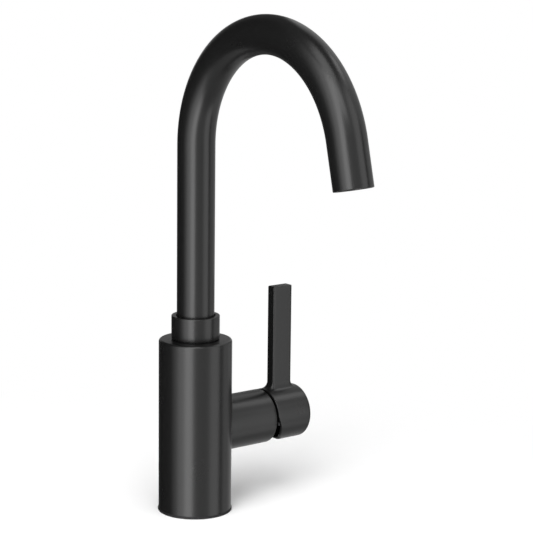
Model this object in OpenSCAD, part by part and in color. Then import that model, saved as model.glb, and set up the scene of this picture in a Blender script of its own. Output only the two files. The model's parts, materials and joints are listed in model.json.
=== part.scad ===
// Gooseneck bar faucet with one side lever: a straight round body, a swivelling
// gooseneck spout and a blade lever on a hub that sits at the end of a side arm.
// Millimetres. The origin is the centre of the base on the deck's top face, +Z is up,
// the spout reaches towards -Y and the valve's axis runs along +X.

/* [Spout] */
// Outside diameter of the gooseneck tube
tube_d = 25.4; // [24.8:0.1:27]
// Wall thickness of the gooseneck tube
tube_wall = 1.5; // [1:0.1:1.6]
// Height above the deck at which the riser starts to bend
bend_z = 251.2; // [200:0.1:320]
// Radius of the bend, measured to the middle of the tube
bend_r = 77.8; // [60:0.1:95]
// Angle through which the tube is bent
bend_angle = 166.4; // [120:0.1:178]
// Straight length of tube after the bend
outlet_len = 29.3; // [22:0.1:60]

/* [Aerator] */
// Depth of the aerator's face inside the tube's end
aerator_recess = 1.5; // [1:0.1:4]
// Length of the aerator's housing
aerator_len = 9.5; // [8:0.1:12]
// Wall thickness of the aerator's housing
aerator_wall = 1.3; // [0.8:0.1:1.8]
// Wall thickness of the threaded bush that is brazed into the tube's end
bush_wall = 1.25; // [0.8:0.05:1.6]
// Diameter of each water hole in the aerator's insert
jet_d = 1.5; // [1:0.1:1.7]

/* [Spout collar and swivel] */
// Outside diameter of the collar round the foot of the tube
collar_d = 32.7; // [31.6:0.1:36]
// Height of the collar
collar_h = 16; // [14:0.1:20]
// Gap between the body's top face and the collar
collar_lift = 0.4; // [0.3:0.1:1.1]
// Radius of the collar's rounded edges
collar_round = 0.5; // [0.3:0.1:1.1]
// Width of the open groove between the tube and the collar's top
collar_groove_w = 0.7; // [0.4:0.1:1]
// Thickness of the glide ring under the spout
glide_t = 1.3; // [1.1:0.1:2.2]
// Thickness of the flange at the foot of the spout's brass hub
hub_foot_t = 2.6; // [2:0.1:4]
// Diameter of the post on which the spout turns
post_d = 19; // [17:0.1:19.4]
// Section diameter of the two seals on the post
post_seal_d = 1.9; // [1.5:0.1:2.2]
// Thread diameter of the screw that holds the spout on its post
spout_screw_d = 4; // [3:0.1:5]

/* [Body] */
// Outside diameter of the body
body_d = 49.7; // [48.6:0.1:54]
// Height of the body's top face above the deck
body_top = 119.5; // [112:0.1:150]
// Wall thickness of the body
body_wall = 2; // [1.5:0.1:2.6]
// Thickness of the body's top plate
top_plate_t = 3.5; // [2.5:0.1:6]
// Radius of the body's rounded top rim
rim_round = 1.8; // [0.5:0.1:2.4]
// Width of the gasket's edge that shows round the body
gasket_lip = 0.45; // [0:0.05:2]
// Thickness of the gasket under the body
gasket_t = 1.7; // [1:0.1:3]
// Thickness of the threaded plate that closes the body's foot
base_plate_t = 6; // [4:0.1:9]

/* [Side arm] */
// Height of the valve's axis above the deck
valve_z = 56.9; // [54:0.1:66]
// Outside diameter of the side arm
arm_d = 37.4; // [36.8:0.1:40]
// Distance of the side arm's end face from the body's axis
arm_end = 56.7; // [55.6:0.1:64]
// Wall thickness of the side arm
arm_wall = 1.6; // [1.2:0.1:1.8]
// Radius of the side arm's rounded end edge
arm_round = 0.5; // [0.2:0.1:0.8]

/* [Handle] */
// Gap between the side arm and the handle's hub
handle_gap = 2; // [1.5:0.1:4]
// Outside diameter of the handle's hub
hub_d = 37.3; // [36:0.1:40]
// Length of the handle's hub
hub_len = 28.9; // [28:0.1:36]
// Wall thickness of the hollow hub
hub_wall = 1.6; // [1.6:0.1:3]
// Thickness of the hub's closed end
hub_end_t = 7.6; // [5:0.1:9]
// Radius of the hub's rounded outer end
hub_round = 2.3; // [0.5:0.1:4]
// Width of the blade, along the valve's axis
blade_w = 16; // [12:0.1:20]
// Thickness of the blade
blade_t = 7.1; // [4:0.1:8]
// Height of the blade's top above the valve's axis
blade_rise = 91; // [60:0.1:110]
// Distance from the hub's inner rim to the blade
blade_inset = 5.8; // [5:0.1:8]
// Radius between the blade and the hub on the body's side
blade_fillet_in = 5; // [2:0.1:5]
// Radius between the blade and the hub on the outer side
blade_fillet_out = 4.5; // [2:0.1:5]
// Height above the valve's axis at which the rim's cut-away starts
relief_top = 2.5; // [0:0.1:6]
// Depth below the valve's axis at which the cut-away steepens
relief_knee_z = 12.8; // [10:0.1:15]
// Depth of the cut-away there, from the hub's inner rim
relief_knee_x = 4.8; // [4:0.1:7]
// Depth of the cut-away at the hub's underside
relief_foot_x = 10.3; // [8:0.1:11]
// Thread diameter of the handle's set screw
set_screw_d = 5; // [4:0.1:6]

/* [Cartridge] */
// Outside diameter of the ceramic disc cartridge
cartridge_d = 24.8; // [24.6:0.1:25.6]
// Thickness of the cartridge's base with its three ports
base_t = 5; // [4:0.1:5.6]
// Thickness of the fixed ceramic disc
fixed_disc_t = 4; // [3:0.1:4.6]
// Thickness of the moving ceramic disc
moving_disc_t = 3.4; // [2.6:0.1:4]
// Thickness of the carrier that drives the moving disc
carrier_t = 5; // [4.6:0.1:5.6]
// Length of the rotor that holds the lever's pivot pin
rotor_len = 8.6; // [8.2:0.1:9.2]
// Distance of the lever's pivot from the cartridge's outer shoulder
pivot_depth = 4; // [3.4:0.1:4.6]
// Diameter of the lever's pivot pin
pivot_pin_d = 3; // [2:0.1:3.4]
// Width of the square lever stem
stem_w = 7; // [6:0.1:7.4]
// Diameter of the ball that drives the carrier
ball_d = 4.6; // [4:0.1:4.8]
// Diameter of the ports through the seat and the discs
port_d = 5; // [4:0.1:5.2]
// Distance of the ports from the cartridge's axis
port_offset = 6.3; // [6:0.1:6.6]
// Angle through which the lever lifts from closed to fully open
lever_lift = 20; // [16:1:20]

/* [Waterway] */
// Diameter of the brass column inside the body
column_d = 24; // [22:0.1:25]
// Bore of the column's riser
riser_bore_d = 12; // [8:0.1:13]
// Bore of the two inlet threads
inlet_d = 9.2; // [8:0.1:9.4]
// Depth of the two inlet threads
inlet_depth = 16; // [10:0.1:20]
// Distance of each inlet from the body's axis
inlet_offset = 6.8; // [6.4:0.1:7.4]
// Height of the column's wide foot
column_foot_h = 24; // [22:0.1:26]

/* [Deck mounting] */
// Thread diameter of the hollow mounting shank
shank_d = 32; // [30:0.1:34]
// Wall thickness of the shank
shank_wall = 3; // [2:0.1:3.4]
// Length of the shank below the deck's top face
shank_len = 58; // [50:0.1:90]
// Thickness of deck at which the nut is drawn
deck_t = 20; // [3:0.1:24]
// Thickness of the rubber washer
rubber_washer_t = 3; // [2:0.1:5]
// Thickness of the steel washer
steel_washer_t = 1.5; // [1:0.1:3]
// Outside diameter of the steel washer
washer_d = 54; // [48:0.1:64]
// Height of the mounting nut
nut_h = 9; // [6:0.1:14]
// Width across the flats of the mounting nut
nut_flats = 42; // [40:0.1:50]

/* [Clearances] */
// Radial gap between parts that are screwed, pressed or brazed together
joint_gap = 0.05; // [0.03:0.01:0.08]
// Radial gap of a part that turns or slides on another
running_gap = 0.07; // [0.03:0.01:0.09]
// Gap of parts that pass each other freely
free_gap = 0.3; // [0.2:0.05:0.35]

/* [Hidden] */
$fn = 96;
cut = 1;

// Finish colours
black = "#2b2b2c";
brass = "#b8964f";
steel = "#b9bbbd";
rubber = "#1f1f20";
white_plastic = "#e8e6df";
grey_plastic = "#8f9296";
ceramic = "#f4f1ea";

// Body and foot
shell_r = body_d / 2;
shell_bore_r = shell_r - body_wall;
plate_z = body_top - top_plate_t;
base_recess = 0.3;
base_z = gasket_t + base_recess;
core_z = base_z + base_plate_t;
spigot_r = column_d / 2;
core_shoulder_r = spigot_r + 3;
core_shoulder_h = 20;

// Swivel
tube_r = tube_d / 2;
tube_bore_r = tube_r - tube_wall;
post_r = post_d / 2;
collar_r = collar_d / 2;
collar_z = body_top + collar_lift;
hub_foot_r = collar_r - 1.35;
hub_foot_z = body_top + glide_t + joint_gap;
tube_foot_z = hub_foot_z + hub_foot_t;
// The straight outlet laps over the bend, and its walls stand this little outside the bend's
end_lap = 0.5;
end_step = 0.01;
hub_bore_r = post_r + running_gap;
hub_sleeve_r = tube_bore_r - joint_gap;
collar_groove_h = 2;
groove_z = collar_z + collar_h * 0.55;
groove_depth = 1.2;
screw_tip_r = 0.35 * spout_screw_d;
seal_step = 5.5;
post_end_z = groove_z + seal_step + post_seal_d + 3;

// Valve, from the side arm's end face inwards
cap_end = arm_end + 0.5;
cap_roof_t = 2;
cap_wall = 1.3;
hex_h = 3.6;
nut_thread_h = 5.1;
nut_gap = 0.5;
nut_x = cap_end - cap_roof_t - nut_gap - hex_h - nut_thread_h;
housing_wall = 1.7;
housing_end_t = 1;
housing_neck_h = 3.5;
rotor_top = nut_x - housing_end_t - 0.15;
rotor_x = rotor_top - rotor_len;
carrier_x = rotor_x - free_gap - carrier_t;
moving_disc_x = carrier_x - moving_disc_t;
fixed_disc_x = moving_disc_x - joint_gap - fixed_disc_t;
seat_x = fixed_disc_x - base_t;
pivot_x = nut_x - pivot_depth;
pocket_floor = 0.8;
ball_x = carrier_x + pocket_floor + 0.2 + ball_d / 2;
disc_travel = (pivot_x - ball_x) * lever_lift * PI / 180;

cartridge_r = cartridge_d / 2;
boss_thread_r = cartridge_r - 0.4;
housing_bore_r = cartridge_r - housing_wall;
rotor_r = housing_bore_r - running_gap;
housing_neck_r = cartridge_r - 2.6;
rotor_neck_r = housing_neck_r - housing_wall - running_gap;
rotor_neck_end = nut_x + housing_neck_h + 0.5;
disc_r = housing_bore_r - disc_travel / 2 - 0.5;
rotor_seal_d = 1.2;
lever_sweep = (rotor_neck_end - pivot_x) * tan(lever_lift) + stem_w / 2 / cos(lever_lift);
slot_h = 2 * (lever_sweep + free_gap);

arm_r = arm_d / 2;
arm_bore_r = arm_r - arm_wall;
ledge_w = 1.8;
ledge_x = shell_r + 2.2;
barrel_x = column_d / 2 + 0.6;
barrel_end = nut_x + nut_thread_h + hex_h - 0.7;
barrel_tip_x = nut_x + 1.2;
barrel_gap = 0.2;
cap_r = arm_bore_r - 0.15;
cap_bore_r = cap_r - cap_wall;
nut_thread_r = cartridge_r + 1.55;

// Handle
hub_r = hub_d / 2;
hub_x = arm_end + handle_gap;
hub_end = hub_x + hub_len;
hub_floor = hub_end - hub_end_t;
hub_hollow_r = hub_r - hub_wall;
boss_r = stem_w / 2 * sqrt(2) + 2.4;
boss_x = hub_x + blade_inset;
blade_x = hub_x + blade_inset;
stem_end = hub_floor - 1.8;
set_screw_x = stem_end - 4.5;
set_screw_len = 6;
plug_d = set_screw_d + 1;
plug_recess = 0.2;
plug_t = hub_wall - plug_recess - 0.5;

// Deck mounting
shank_r = shank_d / 2;
shank_bore_r = shank_r - shank_wall;
shank_top = core_z - 0.5;
washer_z = -deck_t - rubber_washer_t;
nut_top = washer_z - steel_washer_t;

// Centres of the three ports, seen along the valve's axis: hot, cold and mixed
port_angles = [30, 150, 270];

// A ring with its foot at z = 0
module ring(outer_r, inner_r, height) {
    difference() {
        cylinder(r = outer_r, h = height);
        translate([0, 0, -cut]) cylinder(r = inner_r, h = height + 2 * cut);
    }
}

// A solid cylinder whose top edge, and bottom edge if given, are rounded
module rounded_cylinder(r, h, top, bottom = 0) {
    rotate_extrude() {
        translate([0, bottom]) square([r, h - top - bottom]);
        square([r - max(top, bottom), h]);
        translate([r - top, h - top]) intersection() {
            circle(top, $fn = 48);
            square(top);
        }
        translate([0, h - top - cut / 10]) square([r - top, top + cut / 10]);
        if (bottom > 0) {
            translate([r - bottom, bottom]) mirror([0, 1]) intersection() {
                circle(bottom, $fn = 48);
                square(bottom);
            }
            square([r - bottom, bottom + cut / 10]);
        }
    }
}

// A torus of section radius section_r round the Z axis
module seal_ring(section_r, middle_r) {
    rotate_extrude() translate([middle_r, 0]) circle(section_r, $fn = 32);
}

// Turns local +Z to the valve's axis and starts at distance x from the body's axis
module on_valve(x) {
    translate([x, 0, valve_z]) rotate([0, 90, 0]) children();
}

// Places its children at each port, seen along the valve's axis
module at_ports() {
    for (angle = port_angles) {
        translate([-port_offset * sin(angle), port_offset * cos(angle), 0]) children();
    }
}

// Follows the tube past the bend: local +Z is the way the water flows
module on_outlet(z) {
    translate([0, -bend_r, bend_z]) rotate([bend_angle, 0, 0]) translate([0, bend_r, z]) children();
}

// The solid bounded by the tube's wall surface of radius r
module gooseneck(r, extra) {
    translate([0, 0, tube_foot_z - extra]) cylinder(r = r, h = bend_z - tube_foot_z + extra);
    translate([0, -bend_r, bend_z]) rotate([90, 0, 90]) rotate_extrude(angle = bend_angle) {
        translate([bend_r, 0]) circle(r);
    }
    on_outlet(-end_lap) cylinder(r = r + end_step, h = outlet_len + extra + end_lap);
}

// Hole for the spout's screw, which runs along +Y
module spout_screw_hole() {
    translate([0, post_r - cut, groove_z]) rotate([-90, 0, 0]) {
        cylinder(d = spout_screw_d + 2 * joint_gap, h = collar_r, $fn = 48);
    }
}

// Body casting: a straight column with a top plate and a hollow side arm
module body_shell() {
    color(black) difference() {
        union() {
            translate([0, 0, gasket_t]) rounded_cylinder(shell_r, body_top - gasket_t, rim_round);
            on_valve(0) rounded_cylinder(arm_r, arm_end, arm_round);
        }
        translate([0, 0, gasket_t - cut]) cylinder(r = shell_bore_r, h = plate_z - gasket_t + cut);
        cylinder(r = spigot_r + joint_gap, h = body_top + cut);
        on_valve(0) cylinder(r = arm_bore_r - ledge_w, h = arm_end + cut);
        on_valve(ledge_x) cylinder(r = arm_bore_r, h = arm_end);
    }
}

// Soft ring between the body and the deck
module deck_gasket() {
    color(rubber) ring(shell_r + gasket_lip, shank_r + free_gap, gasket_t);
}

// Threaded plate that screws into the body's foot and takes the shank
module base_plate() {
    spanner_r = (shank_r + shell_bore_r) / 2;
    color(brass) translate([0, 0, base_z]) difference() {
        ring(shell_bore_r - joint_gap, shank_r + joint_gap, base_plate_t);
        for (side = [-1, 1]) {
            translate([side * spanner_r, 0, -cut]) cylinder(d = 3, h = base_plate_t / 2 + cut, $fn = 32);
        }
    }
}

// Hollow threaded shank that passes through the deck's hole
module mounting_shank() {
    color(brass) translate([0, 0, -shank_len]) ring(shank_r, shank_bore_r, shank_len + shank_top);
}

// Rubber washer under the deck
module rubber_washer() {
    color(rubber) translate([0, 0, washer_z]) {
        ring(washer_d / 2 - 1, shank_r + free_gap, rubber_washer_t);
    }
}

// Steel washer between the nut and the rubber washer
module steel_washer() {
    color(steel) translate([0, 0, nut_top]) ring(washer_d / 2, shank_r + free_gap, steel_washer_t);
}

// Hexagon nut on the shank
module mounting_nut() {
    color(brass) translate([0, 0, nut_top - nut_h]) difference() {
        cylinder(d = nut_flats / cos(30), h = nut_h, $fn = 6);
        translate([0, 0, -cut]) cylinder(r = shank_r + running_gap, h = nut_h + 2 * cut);
    }
}

// Brass waterway: inlets at the foot, a side seat for the cartridge, and the swivel post
module waterway_core() {
    riser_z = valve_z + port_offset + 3;
    link_d = port_d - 0.6;
    color(brass) difference() {
        union() {
            translate([0, 0, core_z]) cylinder(r = shell_bore_r - free_gap, h = column_foot_h);
            translate([0, 0, core_z]) cylinder(d = column_d, h = body_top - core_z);
            translate([0, 0, plate_z - core_shoulder_h]) {
                cylinder(r = core_shoulder_r, h = core_shoulder_h);
            }
            translate([0, 0, plate_z]) cylinder(r = post_r, h = post_end_z - plate_z);
            on_valve(0) cylinder(r = boss_thread_r, h = seat_x);
        }
        for (side = [-1, 1]) {
            translate([0, side * inlet_offset, core_z - cut]) {
                cylinder(d = inlet_d, h = inlet_depth + cut);
                cylinder(d = port_d, h = valve_z + port_offset / 2 - core_z + cut);
            }
        }
        translate([0, 0, riser_z]) cylinder(d = riser_bore_d, h = post_end_z);
        translate([0, 0, valve_z - port_offset]) cylinder(d = link_d, h = riser_z);
        on_valve(0) at_ports() cylinder(d = port_d, h = seat_x + cut);
        for (z = [groove_z - seal_step, groove_z + seal_step]) {
            translate([0, 0, z - post_seal_d / 2 - 0.1]) {
                ring(post_r + cut, post_r - post_seal_d, post_seal_d + 0.2);
            }
        }
        translate([0, 0, groove_z - screw_tip_r - 0.2]) {
            ring(post_r + cut, post_r - groove_depth, 2 * screw_tip_r + 0.4);
        }
    }
}

// Threaded brass barrel that locks the waterway to the body and holds the cartridge
module cartridge_barrel() {
    color(brass) difference() {
        union() {
            on_valve(barrel_x) {
                cylinder(r = arm_bore_r - ledge_w - 0.1, h = ledge_x - barrel_x + cut);
            }
            on_valve(ledge_x) cylinder(r = arm_bore_r - barrel_gap, h = barrel_tip_x - ledge_x);
            on_valve(ledge_x) cylinder(r = cap_bore_r - joint_gap, h = barrel_end - ledge_x);
        }
        on_valve(0) cylinder(r = boss_thread_r + joint_gap, h = seat_x + cut);
        on_valve(seat_x) cylinder(r = cartridge_r + joint_gap, h = barrel_end);
        on_valve(nut_x) cylinder(r = nut_thread_r + joint_gap, h = barrel_end);
    }
}

// Cartridge base with three ports and a seal pocket at each
module cartridge_base() {
    color(grey_plastic) on_valve(seat_x) difference() {
        cylinder(r = cartridge_r, h = base_t);
        at_ports() translate([0, 0, -cut]) {
            cylinder(d = port_d, h = base_t + 2 * cut);
            cylinder(d = port_d + 2.8, h = 1.4 + cut);
        }
    }
}

// Three port seals, pressed on the seat by the cartridge's base
module port_seals() {
    color(rubber) on_valve(seat_x) at_ports() {
        ring(port_d / 2 + 1.4 - joint_gap, port_d / 2 + 0.2, 1.4 - joint_gap);
    }
}

// Fixed ceramic disc with three ports
module fixed_disc() {
    color(ceramic) on_valve(fixed_disc_x) difference() {
        cylinder(r = housing_bore_r - joint_gap, h = fixed_disc_t);
        at_ports() translate([0, 0, -cut]) cylinder(d = port_d - 0.4, h = fixed_disc_t + 2 * cut);
    }
}

// Moving ceramic disc with the mixing chamber in its lower face
module moving_disc() {
    chamber_r = 4.2;
    chamber_side = 2;
    chamber_drop = 2.4;
    chamber_h = moving_disc_t / 2 + cut;
    color(ceramic) on_valve(moving_disc_x) translate([disc_travel / 2, 0, 0]) difference() {
        cylinder(r = disc_r, h = moving_disc_t);
        translate([chamber_drop, 0, -cut]) {
            for (side = [-1, 1]) {
                translate([0, side * chamber_side, 0]) cylinder(r = chamber_r, h = chamber_h);
            }
            translate([-chamber_r, -chamber_side, 0]) {
                cube([2 * chamber_r, 2 * chamber_side, chamber_h]);
            }
        }
    }
}

// Carrier that moves the disc, with a pocket for the lever's ball
module disc_carrier() {
    flat_y = 6.9;
    color(white_plastic) on_valve(carrier_x) difference() {
        translate([disc_travel / 2, 0, 0]) intersection() {
            cylinder(r = disc_r, h = carrier_t);
            translate([-disc_r, -flat_y, 0]) cube([2 * disc_r, 2 * flat_y, carrier_t]);
        }
        translate([0, 0, pocket_floor]) cylinder(d = ball_d + 0.5, h = carrier_t);
    }
}

// Cartridge housing: a cup over the discs with a neck for the rotor
module cartridge_housing() {
    color(white_plastic) difference() {
        union() {
            on_valve(fixed_disc_x) cylinder(r = cartridge_r, h = nut_x - fixed_disc_x);
            on_valve(nut_x - cut) cylinder(r = housing_neck_r, h = housing_neck_h + cut);
        }
        on_valve(fixed_disc_x - cut) {
            cylinder(r = housing_bore_r, h = nut_x - housing_end_t - fixed_disc_x + cut);
        }
        on_valve(0) cylinder(r = rotor_neck_r + running_gap, h = arm_end);
    }
}

// Rotor: turns in the housing, guides the carrier and holds the lever's pin
module stem_rotor() {
    tongue_y = 7.2;
    color(white_plastic) difference() {
        union() {
            on_valve(rotor_x) cylinder(r = rotor_r, h = rotor_len);
            on_valve(rotor_x) cylinder(r = rotor_neck_r, h = rotor_neck_end - rotor_x);
            on_valve(carrier_x + free_gap) intersection() {
                cylinder(r = rotor_r, h = rotor_x - carrier_x);
                for (side = [-1, 1]) {
                    translate([-4, side > 0 ? tongue_y : -rotor_r, 0]) {
                        cube([8, rotor_r - tongue_y, rotor_x - carrier_x]);
                    }
                }
            }
        }
        on_valve(rotor_x - cut) {
            translate([-slot_h / 2, -stem_w / 2 - 0.1, 0]) cube([slot_h, stem_w + 0.2, arm_end]);
        }
        on_valve(pivot_x) rotate([90, 0, 0]) {
            cylinder(d = pivot_pin_d + 2 * joint_gap, h = 2 * rotor_r, center = true, $fn = 48);
        }
        on_valve(rotor_x + 1.4) {
            ring(rotor_r + cut, rotor_r - rotor_seal_d, rotor_seal_d + 0.2);
        }
    }
}

// Seal between the rotor and the housing
module rotor_seal() {
    color(rubber) on_valve(rotor_x + 1.5 + rotor_seal_d / 2) {
        seal_ring(rotor_seal_d / 2, rotor_r - rotor_seal_d / 2 + 0.03);
    }
}

// Steel pin on which the lever tilts
module pivot_pin() {
    color(steel) on_valve(pivot_x) rotate([90, 0, 0]) {
        cylinder(d = pivot_pin_d, h = 2 * rotor_r - 2, center = true, $fn = 48);
    }
}

// Lever stem: a square bar with a pivot eye and a ball on a neck
module lever_stem() {
    neck_d = 3.4;
    bar_x = pivot_x - stem_w / 2;
    color(brass) difference() {
        union() {
            on_valve(bar_x) translate([-stem_w / 2, -stem_w / 2, 0]) {
                cube([stem_w, stem_w, stem_end - bar_x]);
            }
            on_valve(ball_x) cylinder(d = neck_d, h = bar_x - ball_x + cut, $fn = 48);
            on_valve(ball_x) sphere(d = ball_d, $fn = 48);
        }
        on_valve(pivot_x) rotate([90, 0, 0]) {
            cylinder(d = pivot_pin_d + 2 * running_gap, h = 2 * stem_w, center = true, $fn = 48);
        }
    }
}

// Ring nut that clamps the cartridge in its barrel
module cartridge_nut() {
    nut_bore_r = housing_neck_r + 0.2;
    color(brass) on_valve(nut_x) difference() {
        union() {
            cylinder(r = nut_thread_r, h = nut_thread_h);
            cylinder(r = nut_thread_r - 1.4, h = nut_thread_h + hex_h, $fn = 6);
        }
        translate([0, 0, -cut]) cylinder(r = nut_bore_r, h = nut_thread_h + hex_h + 2 * cut);
    }
}

// Trim cap that hides the nut at the end of the side arm
module bonnet_cap() {
    sweep = (cap_end - pivot_x) * tan(lever_lift) + stem_w / 2 / cos(lever_lift);
    opening_r = norm([sweep, stem_w / 2]) + free_gap;
    cap_round = 2;
    color(black) difference() {
        on_valve(barrel_tip_x + 0.2) {
            rounded_cylinder(cap_r, cap_end - barrel_tip_x - 0.2, cap_round);
        }
        on_valve(0) cylinder(r = cap_bore_r, h = cap_end - cap_roof_t);
        on_valve(0) cylinder(r = opening_r, h = cap_end + cut);
    }
}

// Quarter-round corner between a wall at x = 0 and a floor at z = 0, for blade_side
module corner_fillet(r) {
    difference() {
        translate([-r, -cut]) square([r + cut, r + cut]);
        translate([-r, r]) circle(r);
    }
}

// Outline of the blade and its fillets in the plane of the valve's axis and the vertical
module blade_side() {
    foot = sqrt(hub_r * hub_r - blade_t * blade_t / 4) - joint_gap;
    translate([blade_x, foot - cut]) square([blade_w, blade_rise - foot + cut]);
    translate([blade_x, foot]) corner_fillet(blade_fillet_in);
    translate([blade_x + blade_w, foot]) mirror([1, 0]) corner_fillet(blade_fillet_out);
}

// Handle: a hollow hub with a flat blade that stands on it
module handle() {
    relief = [
        [hub_x - cut, relief_top],
        [hub_x, relief_top],
        [hub_x + relief_knee_x, -relief_knee_z],
        [hub_x + relief_foot_x, -hub_r],
        [hub_x + relief_foot_x, -hub_r - cut],
        [hub_x - cut, -hub_r - cut]
    ];
    color(black) difference() {
        union() {
            difference() {
                union() {
                    on_valve(hub_x) rounded_cylinder(hub_r, hub_len, hub_round, 0.4);
                    translate([0, blade_t / 2, valve_z]) rotate([90, 0, 0]) {
                        linear_extrude(blade_t) blade_side();
                    }
                }
                on_valve(hub_x - cut) cylinder(r = hub_hollow_r, h = hub_floor - hub_x + cut);
            }
            on_valve(boss_x) cylinder(r = boss_r, h = hub_floor - boss_x + cut);
        }
        translate([0, 0, valve_z]) rotate([90, 0, 0]) {
            linear_extrude(2 * hub_d, center = true) polygon(relief);
        }
        on_valve(boss_x - cut) translate([-stem_w / 2 - joint_gap, -stem_w / 2 - joint_gap, 0]) {
            cube([stem_w + 2 * joint_gap, stem_w + 2 * joint_gap, stem_end - boss_x + cut + joint_gap]);
        }
        translate([set_screw_x, 0, valve_z - hub_r - cut]) {
            cylinder(d = set_screw_d + 2 * joint_gap, h = hub_r + cut, $fn = 48);
            cylinder(d = plug_d + 2 * joint_gap, h = plug_recess + plug_t + cut, $fn = 48);
        }
    }
}

// Set screw that locks the handle on the square stem
module set_screw() {
    color(steel) translate([set_screw_x, 0, valve_z - stem_w / 2 - joint_gap]) mirror([0, 0, 1]) {
        difference() {
            cylinder(d = set_screw_d, h = set_screw_len, $fn = 48);
            translate([0, 0, set_screw_len / 2]) cylinder(d = set_screw_d / 2, h = set_screw_len, $fn = 6);
        }
    }
}

// Plug that hides the set screw's hole
module set_screw_plug() {
    color(black) translate([set_screw_x, 0, valve_z - hub_r + plug_recess]) {
        cylinder(d = plug_d, h = plug_t, $fn = 48);
    }
}

// Polymer ring on which the spout turns
module glide_ring() {
    color(black) translate([0, 0, body_top]) {
        ring(hub_foot_r - free_gap, post_r + joint_gap, glide_t);
    }
}

// Two seals between the post and the spout's hub
module post_seals() {
    color(rubber) for (z = [groove_z - seal_step, groove_z + seal_step]) {
        translate([0, 0, z]) seal_ring(post_seal_d / 2, post_r - post_seal_d / 2 + 0.03);
    }
}

// Brass hub that is brazed into the foot of the tube and turns on the post
module spout_hub() {
    color(brass) difference() {
        union() {
            translate([0, 0, hub_foot_z]) cylinder(r = hub_foot_r, h = hub_foot_t);
            translate([0, 0, hub_foot_z]) cylinder(r = hub_sleeve_r, h = post_end_z + 2 - hub_foot_z);
        }
        cylinder(r = hub_bore_r, h = bend_z);
        spout_screw_hole();
    }
}

// Screw with a dog point that runs in the post's groove and keeps the spout on
module spout_screw() {
    tip_y = post_r - groove_depth + free_gap;
    shoulder_y = post_r + 0.4;
    end_y = collar_r - 0.6;
    color(steel) translate([0, 0, groove_z]) rotate([-90, 0, 0]) difference() {
        union() {
            translate([0, 0, tip_y]) cylinder(r = screw_tip_r, h = shoulder_y - tip_y + cut / 2, $fn = 48);
            translate([0, 0, shoulder_y]) cylinder(d = spout_screw_d, h = end_y - shoulder_y, $fn = 48);
        }
        translate([0, 0, end_y - 2]) cylinder(d = spout_screw_d / 2, h = 2 + cut, $fn = 6);
    }
}

// Collar round the foot of the tube
module spout_collar() {
    color(black) difference() {
        translate([0, 0, collar_z]) {
            rounded_cylinder(collar_r, collar_h, collar_round, collar_round);
        }
        translate([0, 0, collar_z - cut]) {
            cylinder(r = hub_foot_r + joint_gap, h = tube_foot_z + joint_gap - collar_z + cut);
        }
        cylinder(r = tube_r + joint_gap, h = bend_z);
        translate([0, 0, collar_z + collar_h - collar_groove_h]) {
            cylinder(r = tube_r + collar_groove_w, h = collar_groove_h + cut);
        }
        spout_screw_hole();
    }
}

// Gooseneck tube: riser, bend and straight outlet
module spout_tube() {
    color(black) difference() {
        gooseneck(tube_r, 0);
        gooseneck(tube_bore_r, cut);
        spout_screw_hole();
    }
}

// Threaded bush inside the tube's end
module outlet_bush() {
    color(brass) on_outlet(outlet_len - aerator_recess - aerator_len - 2) {
        ring(tube_bore_r - joint_gap, tube_bore_r - bush_wall, aerator_len + 2);
    }
}

// Sealing washer above the aerator
module aerator_gasket() {
    washer_r = tube_bore_r - bush_wall - joint_gap;
    color(rubber) on_outlet(outlet_len - aerator_recess - aerator_len - 1.6) {
        ring(washer_r, washer_r - 2.6, 1.6);
    }
}

// Threaded housing of the aerator, with a lip that keeps the insert in
module aerator_housing() {
    housing_r = tube_bore_r - bush_wall - joint_gap;
    lip = 1;
    color(black) on_outlet(outlet_len - aerator_recess - aerator_len) difference() {
        cylinder(r = housing_r, h = aerator_len);
        translate([0, 0, -cut]) cylinder(r = housing_r - aerator_wall, h = aerator_len - lip + cut);
        cylinder(r = housing_r - aerator_wall - lip, h = aerator_len + cut);
    }
}

// Aerator insert: a plug with hexagonal rows of water holes
module aerator_insert() {
    insert_r = tube_bore_r - bush_wall - aerator_wall - 2 * joint_gap;
    rows = 3;
    pitch = (insert_r - 1) / (rows + 0.5);
    color(grey_plastic) on_outlet(outlet_len - aerator_recess - aerator_len + 1) difference() {
        cylinder(r = insert_r, h = aerator_len - 2 - joint_gap);
        for (row = [-rows:rows]) {
            for (column = [0:2 * rows - abs(row)]) {
                translate([(column - rows + abs(row) / 2) * pitch, row * pitch * sin(60), -cut]) {
                    cylinder(d = jet_d, h = aerator_len + cut, $fn = 16);
                }
            }
        }
    }
}

body_shell();
deck_gasket();
base_plate();
mounting_shank();
rubber_washer();
steel_washer();
mounting_nut();
waterway_core();
cartridge_barrel();
cartridge_base();
port_seals();
fixed_disc();
moving_disc();
disc_carrier();
cartridge_housing();
stem_rotor();
rotor_seal();
pivot_pin();
lever_stem();
cartridge_nut();
bonnet_cap();
handle();
set_screw();
set_screw_plug();
glide_ring();
post_seals();
spout_hub();
spout_screw();
spout_collar();
spout_tube();
outlet_bush();
aerator_gasket();
aerator_housing();
aerator_insert();
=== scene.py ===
"""A gooseneck bar faucet in satin black, with a blade lever at the end of a side arm.

Metres, in the frame of the CAD model: +Z is up, the deck's top face is at z = 0, the spout
reaches towards -Y and the valve's axis runs along +X. Each section below is one piece of
the faucet, or a group of like pieces: first the groups that keep their CAD shape, then the
pieces that are modelled here, from the foot up.
"""
import json
import math

import bmesh
import bpy
from mathutils import Matrix, Vector
from mathutils.geometry import delaunay_2d_cdt


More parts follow.
